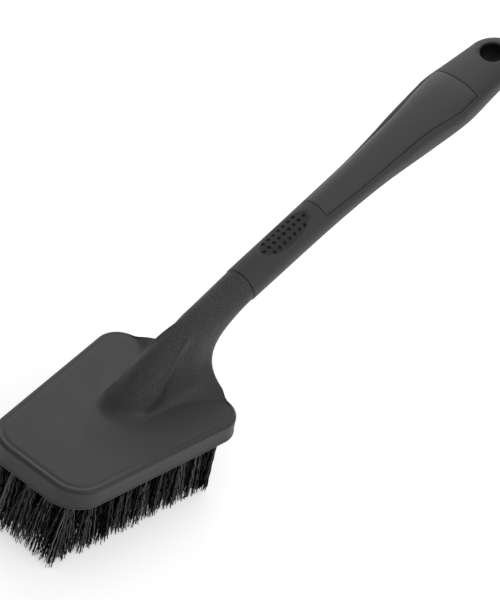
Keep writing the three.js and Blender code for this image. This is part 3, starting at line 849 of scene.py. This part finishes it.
bundle = keep(t, bundle, "bend", chance(t, -1.0, 1.0, 6, strand))
bundle = keep(t, bundle, "short", chance(t, 0.0, 1.0, 7, strand))
# A random value per strand, which the fibre material turns into painted highlights and painted shade.
bundle = keep(t, bundle, "shade", chance(t, 0.0, 1.0, 8, strand))

start = node(t, "ShaderNodeCombineXYZ", Z=fil_in.outputs["Root Depth"]).outputs[0]
end = node(t, "ShaderNodeCombineXYZ", Z=calc(t, "MULTIPLY", fil_in.outputs["Length"], -1.0)).outputs[0]
line = node(t, "GeometryNodeCurvePrimitiveLine", Start=start, End=end)
stepped = node(t, "GeometryNodeResampleCurve", Curve=out(line), Count=17)
strands = node(t, "GeometryNodeInstanceOnPoints", Points=bundle, Instance=out(stepped))
strands = node(t, "GeometryNodeRealizeInstances", Geometry=out(strands))

factor = out(node(t, "GeometryNodeSplineParameter"), "Factor")
whole = calc(t, "ADD", fil_in.outputs["Length"], fil_in.outputs["Root Depth"])
hung = calc(t, "SUBTRACT", calc(t, "MULTIPLY", factor, whole), fil_in.outputs["Root Depth"])
free = calc(t, "MAXIMUM", calc(t, "DIVIDE", hung, fil_in.outputs["Length"]), 0.0)
opened = calc(t, "MULTIPLY", calc(t, "POWER", free, 0.8),
              calc(t, "ADD", 1.0, calc(t, "MULTIPLY", recall(t, "stray"), 0.5)))
wave = calc(t, "MULTIPLY", calc(t, "DIVIDE", hung, fil_in.outputs["Crimp Length"]), FULL_TURN)
wave = calc(t, "ADD", wave, recall(t, "phase"))
wave = calc(t, "MULTIPLY", calc(t, "SINE", wave), fil_in.outputs["Crimp Height"])
wave = calc(t, "MULTIPLY", wave, calc(t, "MINIMUM", calc(t, "MULTIPLY", free, 6.0), 1.0))
bow = calc(t, "MULTIPLY", recall(t, "bend"), calc(t, "POWER", free, 2.0))
bow = calc(t, "MULTIPLY", bow, fil_in.outputs["Bow"])
sway = calc(t, "ADD", wave, bow)
cell_low = parts_of(t, recall(t, "cell_low", "FLOAT_VECTOR"))
cell_high = parts_of(t, recall(t, "cell_high", "FLOAT_VECTOR"))


def spread_to(name, low, high, direction):
    """Sideways move of a filament, from its seat in the hole to its place in the tuft's share of
    the field. Places are drawn together into five bunches each way."""
    seat = calc(t, "MULTIPLY", recall(t, name), fil_in.outputs["Root Half Width"])
    place = calc(t, "ADD", calc(t, "MULTIPLY", recall(t, name), 0.5), 0.5)
    bunch = calc(t, "FLOOR", calc(t, "MULTIPLY", place, 4.999))
    strand_place = calc(t, "DIVIDE", calc(t, "ADD", bunch, 0.5), 5.0)
    place = calc(t, "ADD", place, calc(t, "MULTIPLY", calc(t, "SUBTRACT", strand_place, place), 0.7))
    place = calc(t, "ADD", low, calc(t, "MULTIPLY", calc(t, "SUBTRACT", high, low), place))
    there = calc(t, "ADD", seat, calc(t, "MULTIPLY", calc(t, "SUBTRACT", place, seat), opened))
    return calc(t, "ADD", there, calc(t, "MULTIPLY", sway, direction))


move_x = spread_to("across", cell_low[0], cell_high[0], calc(t, "COSINE", recall(t, "turn")))
move_y = spread_to("aside", cell_low[1], cell_high[1], calc(t, "SINE", recall(t, "turn")))
lift = calc(t, "MULTIPLY", calc(t, "POWER", recall(t, "short"), 2.2),
            calc(t, "MULTIPLY", fil_in.outputs["Uneven"], factor))
moved = node(t, "GeometryNodeSetPosition", Geometry=out(strands),
             Offset=node(t, "ShaderNodeCombineXYZ", X=move_x, Y=move_y, Z=lift).outputs[0])
profile = node(t, "GeometryNodeCurvePrimitiveCircle", Resolution=3,
               Radius=fil_in.outputs["Filament Radius"])
wires = node(t, "GeometryNodeCurveToMesh", Curve=out(moved), Profile_Curve=out(profile), Fill_Caps=True)
solid_wires = node(t, "GeometryNodeRealizeInstances", Geometry=out(wires))
finished = node(t, "GeometryNodeSetMaterial", Geometry=out(solid_wires), Material=fil_in.outputs["Finish"])
feed(t, fil_out.inputs["Geometry"], out(finished))

# Black nylon filament: glossy along its length, a few strands paler than the rest. The paler,
# glossier strands are painted highlights, and the near-black ones are painted shade between the strands.
bristle_fibre = bpy.data.materials.new("bristle_fibre")
bristle_fibre.use_nodes = True
shade = bristle_fibre.node_tree
strand_painted_light = node(shade, "ShaderNodeAttribute", {"attribute_name": "shade"})
tone = node(shade, "ShaderNodeValToRGB", Fac=out(strand_painted_light, "Fac"))
tone.color_ramp.elements[0].position = 0.45
tone.color_ramp.elements[0].color = (0.0015, 0.0015, 0.0015, 1)
tone.color_ramp.elements[1].color = (0.17, 0.165, 0.167, 1)
dull = node(shade, "ShaderNodeMapRange", Value=out(strand_painted_light, "Fac"), To_Min=0.6, To_Max=0.3)
shader = shade.nodes["Principled BSDF"]
sheen = node(shade, "ShaderNodeMapRange", Value=out(strand_painted_light, "Fac"),
             From_Min=0.4, To_Min=0.03, To_Max=0.4)
feed(shade, shader.inputs["Specular IOR Level"], out(sheen))
feed(shade, shader.inputs["Base Color"], out(tone, "Color"))
feed(shade, shader.inputs["Roughness"], out(dull))

for number, row in enumerate(tuft_rows, 1):
    half_gap = (row[1][1] - row[0][1]) / 2
    cell_lows, cell_highs = [], []
    for x, y in row:
        towards_toe = LEAN_TO_TOE if number == 1 else row_pitch / 2 + 0.5
        towards_heel = LEAN_TO_HEEL if number == len(tuft_rows) else row_pitch / 2 - 0.5
        left_room = y + row[-1][1] + LEAN_TO_SIDE
        right_room = row[-1][1] - y + LEAN_TO_SIDE
        cell_lows.append(Vector((-towards_toe, -min(half_gap, left_room), 0)) * MM)
        cell_highs.append(Vector((towards_heel, min(half_gap, right_room), 0)) * MM)
    tufts = seats(f"tufts_row{number}", [(x, y, BLOCK_BOTTOM) for x, y in row],
                  cell_low=cell_lows, cell_high=cell_highs)
    grow(tufts, filaments, {
        "Filaments": FILAMENTS_PER_TOE_TUFT if number == 1 else FILAMENTS_PER_TUFT,
        "Root Half Width": ROOT_HALF_WIDTH * MM, "Length": (BRISTLE_LENGTH - 0.4) * MM,
        "Root Depth": ROOT_DEPTH * MM, "Filament Radius": FILAMENT_RADIUS * MM,
        "Crimp Height": CRIMP_HEIGHT * MM, "Crimp Length": CRIMP_LENGTH * MM, "Bow": BOW * MM,
        "Uneven": UNEVEN * MM, "Seed": 40 * number, "Finish": bristle_fibre})
    tufts.data.shade_smooth()
    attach(tufts, BODY)
    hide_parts(*[f"tuft_row{number}_{k + 1}" for k in range(len(row))])


# ---- Tuft anchors -------------------------------------------------------------------------------
# A short flat steel wire lies across the fold of each tuft, deep in its hole, and bites into the
# walls. Once the brush is filled none of them shows.
ANCHOR_HEIGHT = 8.7
ANCHOR_SIZE = (6.6, 0.5, 1.6)
anchor_tree, anchor_in, anchor_out = new_tree("tuft_anchors", [("Size", "Vector"), ("Finish", "Material")])
staple = node(anchor_tree, "GeometryNodeMeshCube", Size=anchor_in.outputs["Size"])
placed = node(anchor_tree, "GeometryNodeInstanceOnPoints", Points=anchor_in.outputs["Geometry"],
              Instance=out(staple, "Mesh"))
solid_copies = node(anchor_tree, "GeometryNodeRealizeInstances", Geometry=out(placed))
finished = node(anchor_tree, "GeometryNodeSetMaterial", Geometry=out(solid_copies),
                Material=anchor_in.outputs["Finish"])
feed(anchor_tree, anchor_out.inputs["Geometry"], out(finished))

anchor_steel = bpy.data.materials.new("anchor_steel")
anchor_steel.use_nodes = True
shade = anchor_steel.node_tree
place = node(shade, "ShaderNodeTexCoord")
drawn = node(shade, "ShaderNodeTexNoise", Vector=out(place, "Object"), Scale=900.0)
dull = node(shade, "ShaderNodeMapRange", Value=out(drawn), To_Min=0.25, To_Max=0.4)
shader = shade.nodes["Principled BSDF"]
shader.inputs["Base Color"].default_value = (0.55, 0.55, 0.56, 1)
shader.inputs["Metallic"].default_value = 1.0
feed(shade, shader.inputs["Roughness"], out(dull))

anchors = seats("tuft_anchors", [(x, y, BLOCK_BOTTOM + ANCHOR_HEIGHT) for row in tuft_rows for x, y in row])
grow(anchors, anchor_tree, {"Size": tuple(size * MM for size in ANCHOR_SIZE), "Finish": anchor_steel})
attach(anchors, BODY)
